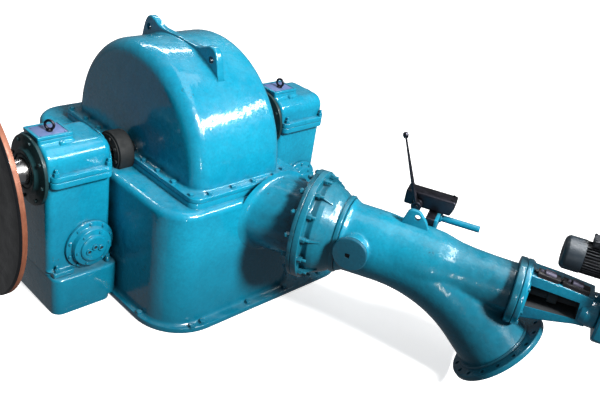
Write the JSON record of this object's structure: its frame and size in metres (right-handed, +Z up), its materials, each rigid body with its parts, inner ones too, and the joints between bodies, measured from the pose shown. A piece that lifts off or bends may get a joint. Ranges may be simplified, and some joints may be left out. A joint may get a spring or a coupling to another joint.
{
  "type": "impulse water turbine set",
  "caption": "Horizontal-shaft impulse water turbine with a half-drum cover, flywheel, plinth bearings and an inclined inlet bend with a motor-driven needle.",
  "frame": {"origin": "middle of the machine's box, on the floor", "axes": "+Z up, +Y along the shaft from the flywheel to the far bearing, +X across the shaft towards the inlet bend"},
  "size_m": [2.7875, 2.0009, 1.206],
  "materials": {
    "machine_blue": "glossy sky-blue machine enamel on rough castings",
    "rim_primer": "copper-orange primed rim, black painted faces",
    "cover_grey": "dull violet-grey plate",
    "dark_steel": "dark oiled steel",
    "bright_steel": "turned bright steel",
    "cast_bronze": "cast bronze",
    "motor_slate": "dark slate motor paint",
    "switch_black": "matte black"
  },
  "bodies": {
    "machine": {"lower_casing": "machine_blue", "upper_cover": "machine_blue", "lifting_plate": "machine_blue", "near_shaft_seal": "machine_blue", "far_shaft_seal": "machine_blue", "near_plinth": "machine_blue", "near_bearing_housing": "machine_blue", "near_bearing_cap": "machine_blue", "near_inspection_frame": "machine_blue", "near_inspection_cover": "cover_grey", "near_cover_eye": "dark_steel", "near_oil_port": "machine_blue", "near_outer_seal": "machine_blue", "near_inner_seal": "machine_blue", "far_plinth": "machine_blue", "far_bearing_housing": "machine_blue", "far_bearing_cap": "machine_blue", "far_inspection_frame": "machine_blue", "far_inspection_cover": "cover_grey", "far_cover_eye": "dark_steel", "far_oil_port": "machine_blue", "far_outer_seal": "machine_blue", "far_inner_seal": "machine_blue", "nozzle_body": "machine_blue", "inlet_elbow": "machine_blue", "hand_hole_cover": "machine_blue", "elbow_lifting_lug": "machine_blue", "needle_yoke": "machine_blue", "limit_switch_a": "switch_black", "limit_switch_b": "switch_black", "gear_case": "machine_blue", "motor_body": "motor_slate", "motor_fan_cowl": "motor_slate", "motor_terminal_box": "motor_slate", "deflector_bracket": "dark_steel", "deflector_case": "dark_steel", "deflector_cylinder": "machine_blue"},
    "rotor": {"shaft": "bright_steel", "flywheel": "rim_primer", "runner": "cast_bronze"},
    "lever": {"deflector_lever": "dark_steel"}
  },
  "joints": [
    {"name": "rotor_spin", "type": "hinge", "parent": "machine", "child": "rotor", "pos_m": [-0.6717, 0.0546, 0.666], "axis": [0, 1, 0], "continuous": true},
    {"name": "deflector_lever_swing", "type": "hinge", "parent": "machine", "child": "lever", "pos_m": [0.40022, 0.63255, 0.6704], "axis": [-0.4362, 0.8999, 0], "range_deg": [0, 50]}
  ]
}
